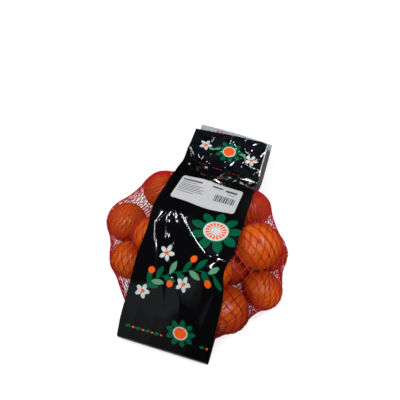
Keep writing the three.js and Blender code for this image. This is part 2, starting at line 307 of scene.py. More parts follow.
def height_over(surface, x, y):
    """The highest point of a surface over a place, or nan."""
    hit = surface.ray_cast(Vector((x, y, RAY_START)), Vector((0, 0, -1)))[0]
    return np.nan if hit is None else hit.z


def height_under(surface, x, y):
    """The lowest point of a surface over a place, or nan."""
    hit = surface.ray_cast(Vector((x, y, -RAY_START)), Vector((0, 0, 1)))[0]
    return np.nan if hit is None else hit.z


net_surface, film_surface = surface_of("net_of_fruit"), surface_of("film_band")
net_low, net_high = (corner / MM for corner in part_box("net_of_fruit"))
film_low, film_high = (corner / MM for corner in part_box("film_band"))


def net_ring(y):
    """The outline of the net at one place along it, from its bottom round by the right."""
    middle = (height_over(net_surface, 0, y) + height_under(net_surface, 0, y)) / 2
    spots = []
    for turn in np.linspace(-0.5, 1.5, RING_POINTS, endpoint=False) * np.pi:
        out = Vector((np.cos(turn), 0, np.sin(turn)))
        spots.append(net_surface.ray_cast(Vector((0, y, middle)) + RING_RAY_START * out, -out)[0])
    return np.array(spots)


def net_lattice(side):
    """The crossings on one side of the net, which of them lie on it, and which lie away from its edges."""
    out, step = [FIRST_ROW], FAN_STEP[side]
    while out[-1] < LAST_ROW:
        across_half = out[-1] * step / 2
        out.append(out[-1] + np.sqrt(max(YARN_LENGTH ** 2 - across_half ** 2, LEAST_ROW_GAP ** 2)))
    out = np.array(out)[:, None]
    column_count = int(np.pi / 2 / FAN_NARROWING[side] / step)
    turn = (np.arange(column_count) + np.arange(len(out))[:, None] % 2 / 2) * step
    turn -= (1 - FAN_NARROWING[side]) * np.maximum(turn - np.interp(out, FAN_OUT, FAN_WIDE[side]), 0)
    down, y = out * np.sin(turn), GATHER_Y - out * np.cos(turn)
    down *= 1 - FAR_GATHER * smooth_step(*FAR_GATHER_Y, y)
    top = RING_POINTS // 2
    halves = rings[:, top::-1] if side > 0 else np.concatenate([rings[:, top:], rings[:, :1]], 1)
    lengths = np.pad(np.cumsum(np.linalg.norm(np.diff(halves, axis=1), axis=2), 1), ((0, 0), (1, 0)))
    girth = np.interp(y, ring_y, lengths[:, -1])
    at = np.clip((y - ring_y[0]) / (ring_y[1] - ring_y[0]), 0, len(ring_y) - 1.001)
    places = np.zeros(down.shape + (3,))
    for spot in np.ndindex(down.shape):
        ring, part = int(at[spot]), at[spot] % 1
        for share, number in ((1 - part, ring), (part, ring + 1)):
            places[spot] += share * np.array(
                [np.interp(down[spot], lengths[number], halves[number, :, axis]) for axis in range(3)])
    on_net = (y > ring_y[0]) & (y < ring_y[-1]) & (down < girth) & (turn < np.pi / 2)
    loose = (y > ring_y[0] + EDGE_WIDTH) & (y < ring_y[-1] - EDGE_WIDTH)
    loose &= (down > EDGE_WIDTH) & (down < girth - EDGE_WIDTH)
    return places, on_net, loose


def clear_of_fruit(points, gap):
    """Moves points out of the fruit, off the table and off the back film."""
    for middle, turn, radii in fruit:
        inward = (points - middle) @ turn
        reach = np.linalg.norm(inward / (radii + gap), axis=-1)
        inside = reach < 1
        points[inside] = middle + (inward[inside] / reach[inside, None]) @ turn.T
    lowest = gap + BACK_FILM_TOP * (np.abs(points[..., 0]) < BACK_FILM_REACH)
    points[..., 2] = np.maximum(points[..., 2], lowest)
    return points


def settled(places, on_net, loose):
    """Evens out the crossings of one side of the net, over its surface."""
    number_of = np.arange(on_net.size).reshape(on_net.shape)
    links = []
    for row in range(len(on_net) - 1):
        here, there = number_of[row], number_of[row + 1]
        slanted = (here[1:], there[:-1]) if row % 2 == 0 else (here[:-1], there[1:])
        links += [np.stack([here, there], -1), np.stack(slanted, -1)]
    links = np.concatenate(links)
    links = links[on_net.ravel()[links].all(1)]
    knots = places.reshape(-1, 3)
    free = (on_net & loose).ravel()
    for done in range(1, SETTLING_ROUNDS + 1):
        along = knots[links[:, 1]] - knots[links[:, 0]]
        length = np.linalg.norm(along, axis=1, keepdims=True)
        pull = along * (EVENING + TIGHTENING * np.clip(1 - YARN_LENGTH / length, 0, 1))
        moved = np.zeros_like(knots)
        np.add.at(moved, links[:, 0], pull)
        np.add.at(moved, links[:, 1], -pull)
        knots[free] += moved[free]
        if done % ROUNDS_ON_SURFACE == 0:
            knots[free] = [net_surface.find_nearest(Vector(knot))[0] for knot in knots[free]]
    return places


def outward_of(places, side):
    ways = side * np.cross(np.gradient(places, axis=0), np.gradient(places, axis=1))
    return ways / (np.linalg.norm(ways, axis=-1, keepdims=True) + 1e-9)


ring_y = np.arange(net_low.y + FIRST_RING, net_high.y - LAST_RING, RING_GAP)
rings = np.stack([net_ring(y) for y in ring_y])
patches = []
for side in (1, -1):
    places, on_net, loose = net_lattice(side)
    places = settled(places, on_net, loose)
    outward = outward_of(places, side)
    knots = clear_of_fruit(places - NET_INSET * outward, KNOT_GAP)
    patches.append((knots, on_net, outward, YARN_HALF_WIDTH[side]))

tail_x = np.arange(-TAIL_HALF_WIDTH, TAIL_HALF_WIDTH + 1, TAIL_MESH)
tail_rows = int((TAIL_END - TAIL_START) / TAIL_MESH)
tail = np.zeros((tail_rows, len(tail_x), 3))
for row in range(tail_rows):
    x = tail_x + TAIL_MESH * (row % 2) / 2
    end_y = TAIL_END + TAIL_PEEP * np.exp(-((x - PEEP_X) / PEEP_HALF_WIDTH) ** 4)
    y = TAIL_START + (end_y - TAIL_START) * row / (tail_rows - 1)
    sample_spots = zip(x, np.minimum(y, TAIL_SAMPLE_END))
    film_over = np.array([height_over(film_surface, *spot) for spot in sample_spots])
    deeper = TAIL_DEPTH_IN_HEAP * smooth_step(TAIL_FLAT_Y, TAIL_FLAT_Y - 8, y)
    tail[row] = np.stack([x, y, film_over - TAIL_DEPTH - deeper], -1)
tail_outward = np.zeros(tail.shape) + np.array([0, 0, 1])
patches.append((tail, np.ones(tail.shape[:2], bool), tail_outward, YARN_HALF_WIDTH[1]))


def eased(points, steps):
    """A smooth line through the points of a strand, with that many steps between two of them."""
    before = np.concatenate([points[:1], points[:-2]])
    first, second = points[:-1], points[1:]
    after = np.concatenate([points[2:], points[-1:]])
    parts = []
    for t in np.arange(steps) / steps:
        parts.append(0.5 * (2 * first + (second - before) * t
                            + (2 * before - 5 * first + 4 * second - after) * t ** 2
                            + (3 * first - before - 3 * second + after) * t ** 3))
    return np.concatenate([np.stack(parts, 1).reshape(-1, 3), points[-1:]])


def strands(on_net, slant):
    """The rows and columns of every unbroken strand that slants one way."""
    rows = np.arange(len(on_net))
    width = on_net.shape[1]
    step_over = rows // 2 if slant > 0 else -((rows + 1) // 2)
    for start in range(-len(rows), width + len(rows)):
        columns = start + step_over
        inside = (columns >= 0) & (columns < width)
        inside[inside] = on_net[rows[inside], columns[inside]]
        edges = np.flatnonzero(np.diff(np.concatenate([[0], inside.astype(int), [0]])))
        for first, last in edges.reshape(-1, 2):
            if last - first >= LEAST_CROSSINGS:
                yield rows[first:last], columns[first:last]


def strand_tube(line, outward, half_width, lift):
    """The middle of a strand in its layer, and its rings of points, which are thicker at the crossings."""
    forward = np.gradient(line, axis=0)
    forward /= np.linalg.norm(forward, axis=-1, keepdims=True)
    outward = outward - forward * (outward * forward).sum(-1, keepdims=True)
    outward /= np.linalg.norm(outward, axis=-1, keepdims=True) + 1e-9
    sideways = np.cross(forward, outward)
    at_crossing = np.abs(np.cos(np.pi * np.arange(len(line)) / YARN_STEPS)) ** 3
    pressed = 1 - TAIL_FLATNESS * smooth_step(ring_y[-1], TAIL_FLAT_Y, line[:, 1])
    width = half_width * (STRAND_WIDTH + KNOT_WIDENING * at_crossing)
    depth = YARN_HALF_DEPTH * (STRAND_DEPTH + KNOT_DEEPENING * at_crossing) * pressed
    line = line + outward * (lift * pressed)[:, None]
    turns = np.linspace(0, 2 * np.pi, YARN_SIDES, endpoint=False)
    tube = line[:, None] + sideways[:, None] * (width[:, None] * np.cos(turns))[..., None]
    tube = tube + outward[:, None] * (depth[:, None] * np.sin(turns))[..., None]
    return line, tube


def over_fruit(points):
    """How close points lie on the fruit or over it, and on or over the reddest fruit, from 0 to 1."""
    gap, redness = np.full(len(points), np.inf), np.zeros(len(points))
    for drop in TINT_DROPS:
        for one_fruit, fruit_redness in zip(fruit, FRUIT_REDNESS_AND_SHADE):
            away = gap_to_fruit(points - (0, 0, drop), *one_fruit)
            redness[away < gap] = fruit_redness
            gap = np.minimum(gap, away)
    close = smooth_step(*TINT_GAPS, gap)
    return close, close * smooth_step(*RED_FRUIT, redness)


# The yarn is painted darker and more orange where fruit is right under it: painted shade, and painted light
# from the fruit through the slightly clear yarn
yarn = add_material("net_yarn", CRIMSON, roughness=0.45, specular=0.2)
yarn_colour = mixed(yarn, stored(yarn, "shade_on_peel"), CRIMSON, CRIMSON_SHADED_ON_PEEL)
yarn_colour = mixed(yarn, stored(yarn, "shade_on_red_peel"), yarn_colour, CRIMSON_SHADED_ON_RED)
set_input(yarn, "Base Color", yarn_colour)
for layer_name, slant, lift in NET_LAYERS:
    yarn_points, yarn_faces, yarn_count = [], [], 0
    yarn_values = {"shade_on_peel": [], "shade_on_red_peel": []}
    for places, on_net, outward, half_width in patches:
        for run in strands(on_net, slant):
            line = eased(places[run], YARN_STEPS)
            in_heap = line[:, 1] < ring_y[-1]
            line[in_heap] = clear_of_fruit(line[in_heap], YARN_GAP + lift)
            line, tube = strand_tube(line, eased(outward[run], YARN_STEPS), half_width, lift)
            yarn_faces += (grid_faces(len(line), YARN_SIDES, wrap=True)[:, ::-1] + yarn_count).tolist()
            last = yarn_count + (len(line) - 1) * YARN_SIDES
            yarn_faces.append(list(range(yarn_count, yarn_count + YARN_SIDES)))
            yarn_faces.append(list(range(last, last + YARN_SIDES))[::-1])
            yarn_points.append(tube.reshape(-1, 3))
            for values, part in zip(yarn_values.values(), over_fruit(line)):
                values.append(np.repeat(part, YARN_SIDES))
            yarn_count += tube[..., 0].size
    net_layer = add_piece(layer_name, np.concatenate(yarn_points), yarn_faces, yarn)
    for name, parts in yarn_values.items():
        add_values(net_layer, name, np.concatenate(parts))
    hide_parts("net_of_fruit")


# Film band: one strip of glossy black film, printed with flowers, leaves and cut fruit; its inside is pale at
# the end and dark grey elsewhere, and that dark grey is painted shade. It runs under the fruit, round a fold
# at the near end and over the fruit, and is welded to itself through the net's end; past the weld its two
# layers are the header.
FILM_HALF_THICKNESS = 0.11
FILM_COLUMNS, FOLD_ROWS, BACK_ROWS = 147, 15, 44
RIM_ANGLE = np.radians(70)
FOLD_RADIUS, FOLD_TURN, FOLD_NARROWING, FOLD_LIFT = 5, np.radians(130), 0.025, 0.2
WELD_Y, WELD_SLANT, WELD_HALF_WIDTH = 93, -0.097, 1.3
WELD_CREASING, WELD_CLEAR = 0.15, (1.0, 4.0)  # how much of a crease is left on the weld
WELD_DENT, WELD_DENT_WIDTH, WELD_DENT_SIZE = 0.5, 1.6, 6
HEADER_START, HEADER_END = (WELD_Y - 4, WELD_Y + 6), 158.4
# Creases: height, half width, then the places they run through
CREASES = [
    (0.9, 0.8, (-46, -34), (-43.5, -41), (-40, -50.5), (-36.3, -61), (-31.8, -72.7), (-28.6, -81.6),
     (-26, -88)),
    (1.8, 1.3, (-43.5, -41), (-41, -36.5), (-36.7, -31), (-32.3, -23.5), (-27.3, -19.6), (-22, -20.2)),
    (1.6, 1.2, (-33, -23), (-32.2, -26), (-27.3, -42.4), (-24.3, -54.7), (-23, -60)),
    (1.1, 1.6, (-26, -20), (-21, -34)),
    (1.6, 1.2, (-24, -17), (-21.4, -20), (-5.5, -37.4), (10, -52.8), (23.3, -64.6), (29.5, -64.3),
     (35.8, -62.6)),
    (2.2, 2.4, (37, -70), (43.4, -68), (49, -67)),
    (0.7, 1.0, (34.5, -77.6), (38.9, -81), (43, -81.4)),
    (0.7, 1.0, (38.9, -81), (40.4, -89)),
    (0.7, 0.9, (-22, -61.6), (-17.3, -60.4), (-14.8, -57.2)),
    (0.7, 0.9, (-17.3, -60.4), (-15, -65)),
    (0.8, 1.1, (-17.9, -68.3), (-13.5, -74.8), (-9, -81.7), (-2.9, -96)),
    (0.8, 2.4, (-9, -88), (-2.9, -96), (6.4, -109.5), (12, -124)),
    (0.6, 1.4, (-28.6, -81.6), (-25, -86.5), (-16.3, -99.5)),
    (0.7, 2.4, (-16.3, -99.5), (-8, -124)),
    (0.7, 2.4, (46, -92), (38, -128)),
    (0.8, 2.6, (-42, 91), (-36, 60)),
    (0.8, 2.6, (-22, 90), (-20, 58)),
    (0.5, 2.6, (4, 88), (2, 59)),
    (0.4, 1.6, (27, 86), (22, 64)),
    (0.3, 1.6, (44, 84), (40, 66)),
    (0.7, 0.9, (-42, 93), (-28, 91.5), (-14, 92), (0, 88.5), (14, 89), (26, 86), (40, 87), (52, 84)),
    (2.6, 2.4, (-57, 120), (-50, 112), (-44, 104)),
    (1.5, 1.3, (-40.7, 110.5), (-34, 103), (-27.6, 101.4), (-19.7, 99.6)),
    (1.0, 1.1, (13.7, 140.6), (23.5, 137.6), (31.6, 128.5), (29.5, 112.6), (39.4, 108.4), (54, 104)),
    (1.0, 1.1, (-7, 147), (5, 146), (12.4, 134.4)),
    (0.9, 1.1, (-48, 150), (-38, 142), (-24, 144)),
]
CREST = 0.9  # how blunt a crease is along its top
CREASE_END, CREASE_RISE = 0.25, 5  # a crease has a quarter of its height at its ends
HEADER_CRUMPLES = np.random.default_rng(21).uniform((-62, 88), (62, 170), (38, 2))
CRUMPLE_CREST, CRUMPLE_WIDTH = 0.6, 1.5
HEADER_RIPPLE, HEADER_RIPPLE_SIZE = 0.25, 9
LOWER_RIPPLE, LOWER_RIPPLE_SIZE, LOWER_RIPPLE_Y = 0.2, 22, (62, 45)
NOISE_CELLS, NOISE_X, NOISE_Y = 64, 20.3, 30.7
EDGE_DROP, EDGE_SAMPLES = 3, 3  # the step that shows the film's edge, and the samples for its slope


def noise(x, y, scale, seed):
    """Smooth random values from 0 to 1 over the film, with features of about that size."""
    table = np.random.default_rng(seed).uniform(size=(NOISE_CELLS, NOISE_CELLS))
    column, row = x / scale + NOISE_X, y / scale + NOISE_Y
    left, low = np.floor(column).astype(int), np.floor(row).astype(int)
    right_part, high_part = smooth_step(0, 1, column - left), smooth_step(0, 1, row - low)
    corner = [[table[(low + j) % NOISE_CELLS, (left + i) % NOISE_CELLS] for i in (0, 1)] for j in (0, 1)]
    near = corner[0][0] * (1 - right_part) + corner[0][1] * right_part
    far = corner[1][0] * (1 - right_part) + corner[1][1] * right_part
    return near * (1 - high_part) + far * high_part


def ridges(x, y, scale, seed):
    """Sharp-crested random folds from 0 to 1."""
    return (1 - np.abs(2 * noise(x, y, scale, seed) - 1)) ** 3


def beside_line(x, y, line):
    """The distance of each place from a bent line, and how far it lies from the line's ends, from 0 to 1."""
    nearest, fade = np.full(x.shape, np.inf), np.zeros(x.shape)
    line = np.array(line, float)
    lengths = np.linalg.norm(np.diff(line, axis=0), axis=1)
    before = np.concatenate([[0], np.cumsum(lengths)])
    for start, end, length, sofar in zip(line[:-1], line[1:], lengths, before):
        run = (end - start) / length
        along = np.clip((x - start[0]) * run[0] + (y - start[1]) * run[1], 0, length)
        away = np.hypot(x - start[0] - along * run[0], y - start[1] - along * run[1])
        share = (sofar + along) / before[-1]
        closer = away < nearest
        nearest = np.where(closer, away, nearest)
        fade = np.where(closer, np.minimum(1, CREASE_RISE * np.minimum(share, 1 - share) + CREASE_END), fade)
    return nearest, fade


def crumpled(x, y):
    """The network of sharp folds between the crumples of the header, from 0 to 1."""
    away = np.hypot(x[..., None] - HEADER_CRUMPLES[:, 0], y[..., None] - HEADER_CRUMPLES[:, 1])
    away = np.sort(away, -1)
    return np.exp(-np.hypot(away[..., 1] - away[..., 0], CRUMPLE_CREST) / CRUMPLE_WIDTH)


def from_weld(x, y):
    return np.abs(y - WELD_Y - WELD_SLANT * x)


def wrinkles(x, y):
    """How far the front film's creases stand up."""
    height = np.zeros(x.shape)
    for rise, half_width, *line in CREASES:
        away, fade = beside_line(x, y, line)
        height += rise * fade * np.exp(-(np.hypot(away, CREST) - CREST) / half_width)
    on_header = smooth_step(*HEADER_START, y)
    height += on_header * crumpled(x, y)
    height += on_header * HEADER_RIPPLE * ridges(x, y, HEADER_RIPPLE_SIZE, seed=4)
    height += smooth_step(*LOWER_RIPPLE_Y, y) * LOWER_RIPPLE * ridges(x, y, LOWER_RIPPLE_SIZE, seed=5)
    off_weld = from_weld(x, y)
    height *= WELD_CREASING + (1 - WELD_CREASING) * smooth_step(*WELD_CLEAR, off_weld)
    dented = np.exp(-(off_weld / WELD_DENT_WIDTH) ** 2)
    return height - WELD_DENT * dented * noise(x, y, WELD_DENT_SIZE, seed=8)


def filled(heights):
    """Carries each row of heights on past the film's edges, where they drop."""
    middle = heights.shape[1] // 2
    for row in heights:
        for side in (-1, 1):
            at = middle
            while 0 < at + side < len(row) - 1 and abs(row[at + side] - row[at]) < EDGE_DROP:
                at += side
            slope = (row[at] - row[at - EDGE_SAMPLES * side]) / EDGE_SAMPLES
            while 0 <= at + side < len(row):
                at += side
                row[at] = row[at - side] + slope
    return heights


def blurred(heights, spread):
    reach = int(3 * spread)
    weights = np.exp(-(np.arange(-reach, reach + 1) / spread) ** 2 / 2)
    weights /= weights.sum()
    for _ in range(2):
        padded = np.pad(heights, ((reach, reach), (0, 0)), mode="reflect", reflect_type="odd")
        heights = np.stack([np.convolve(column, weights, "valid") for column in padded.T])
    return heights


# The front: the solid film's upper side, laid out by its length across, with creases, tucks and a bowed end
SAMPLE_REACH, SAMPLE_BLUR = 58, 2.5
fold_y = film_low.y + FOLD_RADIUS
drape_start = fold_y - FOLD_RADIUS * np.sin(FOLD_TURN)
sample_x = np.arange(-SAMPLE_REACH, SAMPLE_REACH + 1)
sample_y = np.arange(np.ceil(drape_start), HEADER_END)
samples = np.array([[height_over(film_surface, x, y) for x in sample_x] for y in sample_y])
samples[:, np.abs(sample_x) > FILM_HALF_WIDTH - 1] = np.nan
samples = blurred(filled(np.nan_to_num(samples, nan=-99.0)), SAMPLE_BLUR)
across = np.linspace(-FILM_HALF_WIDTH, FILM_HALF_WIDTH, FILM_COLUMNS)
# Start, end and step of the rows, which are closer together where the film is creased
ROW_STEPS = ((sample_y[0], -92, 2), (-92, -12, 0.8), (-12, 90, 2), (90, HEADER_END, 0.9))
front_y = np.concatenate([np.arange(*steps) for steps in ROW_STEPS])
front = []
for y in front_y:
    row = np.array([np.interp(y, sample_y, column) for column in samples.T])
    lengths = np.hypot(1, np.diff(row))
    measured = np.concatenate([[0], np.cumsum(lengths)])
    measured -= np.interp(0, sample_x, measured)
    x = np.interp(across, measured, sample_x)
    front.append(np.stack([x, np.full(x.shape, y), np.interp(x, sample_x, row)], -1))
front = np.stack(front)
# Creases start under the solid's surface, but over it on the header
FRONT_SINK, HEADER_RISE, HEADER_RISE_Y = 0.4, 0.6, (86, 96)
front[..., 2] += (wrinkles(front[..., 0], front[..., 1]) - FRONT_SINK
                  + HEADER_RISE * smooth_step(*HEADER_RISE_Y, front[..., 1]))
EDGE_TUCKS = ((-1, 3.6, -50, 20), (1, 4.2, -73, 15))  # side, depth, y and reach
TUCK_START, TUCK_SINK = 34, 1.5
for side, depth, tuck_y, reach in EDGE_TUCKS:
    tuck = smooth_step(TUCK_START, FILM_HALF_WIDTH, side * across)
    tuck = tuck * np.exp(-((front_y[:, None] - tuck_y) / reach) ** 2)
    front[..., 0] -= side * depth * tuck
    front[..., 2] -= TUCK_SINK * tuck
FLARE, FLARE_X, FLARE_Y = 3, (-20, -FILM_HALF_WIDTH), (-100, -145)
END_BOW, END_BOW_LEFT, END_BOW_RIGHT, END_BOW_START = 2, (-50, 10), (56, 42), 143


def flare(y):
    """How far the film's left edge strays outward near the fold."""
    return FLARE * smooth_step(*FLARE_X, across) * smooth_step(*FLARE_Y, y)


front[..., 0] -= flare(front_y[:, None])
end_bow = END_BOW * smooth_step(*END_BOW_LEFT, across) * smooth_step(*END_BOW_RIGHT, across)
front[..., 1] += end_bow * smooth_step(END_BOW_START, HEADER_END, front_y[:, None])

turns = np.linspace(0, FOLD_TURN, FOLD_ROWS)[1:-1, None]
fold_x = across * (1 - FOLD_NARROWING * np.sin(turns) ** 6) - flare(fold_y)
fold = np.stack([fold_x, fold_y - FOLD_RADIUS * np.sin(turns) + 0 * across,
                 FOLD_RADIUS - (FOLD_RADIUS - FOLD_LIFT) * np.cos(turns) + 0 * across], -1)

# The back: flat on the table, then lifted to the weld, past which it shows beside the front and at its end
BACK_SHIFT, BACK_SLANT, BACK_BOW, BACK_LIFT_Y = 6, -0.085, 2, 60
BACK_SLANT_START, BACK_SLANT_END = WELD_Y - 4, 158.5
BACK_END, BACK_SAMPLE_END = film_high.y - 4.7, film_high.y - 5
BACK_RISE, BACK_SINK = 0.25, 0.3
back_y = np.linspace(fold_y, BACK_END, BACK_ROWS)[:, None]
past_weld = smooth_step(BACK_SLANT_START, BACK_SLANT_END, back_y)
back_x = across - flare(back_y) + BACK_SHIFT * smooth_step(BACK_LIFT_Y, BACK_SLANT_START, back_y)
back_along = back_y + (BACK_SLANT * across + BACK_BOW * (1 - (across / FILM_HALF_WIDTH) ** 2)) * past_weld
back_z = np.array([[height_under(film_surface, 0, min(y, BACK_SAMPLE_END)) for y in row]
                   for row in back_along])
back_z = back_z + BACK_RISE - smooth_step(BACK_LIFT_Y, WELD_Y, back_y) * BACK_SINK
back = np.stack([back_x, back_along, back_z], -1)


def sheet_faces(rows, columns):
    """The faces of a thin sheet: one side, the other side, whose points come after, and the rim."""
    count = rows * columns
    number_at = np.arange(count).reshape(rows, columns)
    rim = np.concatenate([number_at[0], number_at[1:, -1], number_at[-1, -2::-1], number_at[-2:0:-1, 0]])
    after = np.roll(rim, -1)
    rim_faces = np.stack([after, rim, rim + count, after + count], -1)
    side_faces = grid_faces(rows, columns)
    return np.concatenate([side_faces, side_faces[:, ::-1] + count, rim_faces])


film = np.concatenate([back[::-1], fold, front])
rows, columns = film.shape[:2]
front_row = len(back) + len(fold)
row_gaps = np.linalg.norm(np.diff(film[:, columns // 2], axis=0), axis=1)
along_film = np.concatenate([[0], np.cumsum(row_gaps)])
film_normals = np.cross(np.gradient(film, axis=1), np.gradient(film, axis=0))
film_normals /= np.linalg.norm(film_normals, axis=-1, keepdims=True)
outer = film + FILM_HALF_THICKNESS * film_normals
inner = film - FILM_HALF_THICKNESS * film_normals
film_faces = sheet_faces(rows, columns)

# The print, as distances from the edges of its shapes on the flat film, less than nothing inside them
INKS = {
    "dark_green": (0.0, 0.085, 0.036), "light_green": (0.085, 0.28, 0.16), "pale": (0.50, 0.53, 0.52),
    "orange_print": (0.75, 0.095, 0.007), "weld_yarn": (0.085, 0.008, 0.014),
}
FAR_FROM_PRINT = 9.0
BIG_FLOWERS = ((27, 158, 17), (4, 333, 11), (16, 27, 10))  # x, y along the film, and radius
BIG_PETALS, BIG_PETAL_TURN, CUT_SLICES, CUT_TURN = 9, 0.15, 8, 0.2
PETAL_START, PETAL_LENGTH, PETAL_WIDTH = 0.76, 1.06, 0.65  # shares of the radius
CUT_RIND, CUT_FLESH, CUT_SKIN, SLICED_RADIUS = 0.86, 0.72, 0.045, 12
BRANCH, BRANCH_HALF_WIDTH = ((-40, 74), (-30, 84), (-6, 98), (20, 104), (44, 102)), 0.6
BRANCH_LEAVES, BRANCH_LEAF_TURN, BRANCH_LEAF = 13, 0.75, (17, 6.5)
BERRIES, BERRY_RADIUS = ((-33, 96), (-8, 84), (14, 116), (36, 92)), 4
SMALL_FLOWERS = ((-20, 118), (-38, 68), (8, 86), (-32, 336), (38, 326))
SMALL_PETALS, SMALL_PETAL_START, SMALL_PETAL, SMALL_FLOWER_EYE = 5, 1.5, (8, 5), 2.2
BORDER_X, BORDER_LEAF_X, BORDER_LEAF_Y, BORDER_LEAF = (-44, -33, -22, -11, 44), -4.5, 16, (0.35, 9, 4)
BORDER_DOT_X, BORDER_DOT_Y, BORDER_DOT_RADIUS = 5.5, 17, 1.7
HEADER_LEAVES = ((-27, -0.1), (-19, 0.3), (19, 0.2), (24, -0.5))  # x and turn
HEADER_LEAF_Y, HEADER_LEAF = 332, (10, 4)
# painted highlight: a pale strip along the front film's right edge on the header
EDGE_HIGHLIGHT_WIDTH, EDGE_HIGHLIGHT_START = 1.4, 302
WELD_YARNS = ((-27, 6), (-4, 7), (20, 9))  # x and half length of the yarn that shows along the weld
WELD_YARN_BLUR, FRAY, FRAY_SIZE, FRAY_MIDDLE = 0.25, 2.4, 2.2, 0.35
print_x = np.broadcast_to(across, (rows, columns))
print_y = np.broadcast_to((along_film - along_film[front_row])[:, None], (rows, columns))
printed_shapes = {ink: np.full((rows, columns), FAR_FROM_PRINT) for ink in INKS}


def add_print(ink, shape):
    printed_shapes[ink] = np.minimum(printed_shapes[ink], shape)


def disc(x, y, radius):
    return np.hypot(print_x - x, print_y - y) - radius


def leaf(x, y, turn, length, width):
    """A pointed leaf that grows from x, y in the direction of turn."""
    out = (print_x - x) * np.cos(turn) + (print_y - y) * np.sin(turn) - length / 2
    aside = (print_y - y) * np.cos(turn) - (print_x - x) * np.sin(turn)
    bend = (length ** 2 + width ** 2) / (4 * width)
    return np.hypot(out, np.abs(aside) + bend - width / 2) - bend


for x, y, radius in BIG_FLOWERS:
    start = PETAL_START * radius
    for turn in np.arange(BIG_PETALS) * 2 * np.pi / BIG_PETALS + BIG_PETAL_TURN:
        add_print("dark_green", leaf(x + start * np.cos(turn), y + start * np.sin(turn), turn,
                                     PETAL_LENGTH * radius, PETAL_WIDTH * radius))
    add_print("dark_green", disc(x, y, radius))
    add_print("pale", disc(x, y, CUT_RIND * radius))
    cut_fruit = disc(x, y, CUT_FLESH * radius)
    if radius > SLICED_RADIUS:
        for turn in np.arange(CUT_SLICES) * np.pi / CUT_SLICES + CUT_TURN:
            skin = np.abs((print_y - y) * np.cos(turn) - (print_x - x) * np.sin(turn)) - CUT_SKIN * radius
            cut_fruit = np.maximum(cut_fruit, -skin)
    add_print("orange_print", cut_fruit)
add_print("dark_green", beside_line(print_x, print_y, BRANCH)[0] - BRANCH_HALF_WIDTH)
for number, share in enumerate(np.linspace(0.3, 3.9, BRANCH_LEAVES)):
    (x0, y0), (x1, y1) = BRANCH[int(share)], BRANCH[int(share) + 1]
    x, y = x0 + (x1 - x0) * (share % 1), y0 + (y1 - y0) * (share % 1)
    turn = np.arctan2(y1 - y0, x1 - x0) + (BRANCH_LEAF_TURN if number % 2 else -BRANCH_LEAF_TURN)
    add_print("light_green" if number % 3 == 2 else "dark_green", leaf(x, y, turn, *BRANCH_LEAF))
for x, y in BERRIES:
    add_print("orange_print", disc(x, y, BERRY_RADIUS))
for x, y in SMALL_FLOWERS:
    for turn in np.arange(SMALL_PETALS) * 2 * np.pi / SMALL_PETALS:
        petal_x, petal_y = x + SMALL_PETAL_START * np.cos(turn), y + SMALL_PETAL_START * np.sin(turn)
        add_print("pale", leaf(petal_x, petal_y, turn, *SMALL_PETAL))
    add_print("orange_print", disc(x, y, SMALL_FLOWER_EYE))
for x in BORDER_X:
    add_print("dark_green", leaf(x + BORDER_LEAF_X, BORDER_LEAF_Y, *BORDER_LEAF))
    add_print("orange_print", disc(x + BORDER_DOT_X, BORDER_DOT_Y, BORDER_DOT_RADIUS))
for x, turn in HEADER_LEAVES:
    add_print("light_green", leaf(x, HEADER_LEAF_Y, turn, *HEADER_LEAF))
# A pale strip along the header's right edge is a painted highlight on the film's edge, not print
add_print("pale", np.maximum(FILM_HALF_WIDTH - EDGE_HIGHLIGHT_WIDTH - print_x, EDGE_HIGHLIGHT_START - print_y))
off_weld = from_weld(film[..., 0], film[..., 1]) - WELD_HALF_WIDTH
for x, half_length in WELD_YARNS:
    add_print("weld_yarn", np.maximum(off_weld, np.abs(print_x - x) - half_length))
frays = FRAY * (noise(print_x, print_y, FRAY_SIZE, seed=31) - FRAY_MIDDLE)
frayed = WELD_YARN_BLUR * (printed_shapes["weld_yarn"] + frays)
frayed[:front_row] = FAR_FROM_PRINT
printed_shapes["weld_yarn"] = frayed

# painted shade: the film's inside is dark grey, except the pale end that is its own colour
FILM_BLACK, FILM_SHADED_GREY, FILM_PALE_END = (0.0022, 0.0023, 0.0028), (0.040, 0.034, 0.040), (0.27, 0.31, 0.325)
UNSHADED_END_REACH = (13, 11)  # how far the pale end of the strip's inside reaches
INK_EDGE = 0.2
printed = add_material("printed_film", FILM_BLACK, roughness=0.10, specular=0.5)
inside_film = add_material("film_inside", FILM_SHADED_GREY, roughness=0.55, specular=0.2)
film_band = add_piece("film_band_sheet", np.concatenate([outer, inner]).reshape(-1, 3), film_faces.tolist(),
                      printed, inside_film)
on_inner = np.arange(len(film_faces)) >= (rows - 1) * (columns - 1)
film_band.data.polygons.foreach_set("material_index", on_inner.astype(int))
film_band.data.set_sharp_from_angle(angle=RIM_ANGLE)
print_colour = FILM_BLACK
for ink, shape in printed_shapes.items():
    add_values(film_band, ink, np.concatenate([shape.ravel(), np.full(shape.size, FAR_FROM_PRINT)]))
    cover = add_node(printed, "MapRange", {0: stored(printed, ink), 1: INK_EDGE, 2: -INK_EDGE}).outputs[0]
    print_colour = mixed(printed, cover, print_colour, INKS[ink])
set_input(printed, "Base Color", print_colour)
# The inside is painted dark grey as shade, and pale near the strip's end
unshaded_end = np.broadcast_to(smooth_step(*UNSHADED_END_REACH, along_film)[:, None], (rows, columns))
add_values(film_band, "unshaded_end", np.concatenate([np.zeros(unshaded_end.size), unshaded_end.ravel()]))
set_input(inside_film, "Base Color", mixed(inside_film, stored(inside_film, "unshaded_end"), FILM_SHADED_GREY, FILM_PALE_END))
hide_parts("film_band")


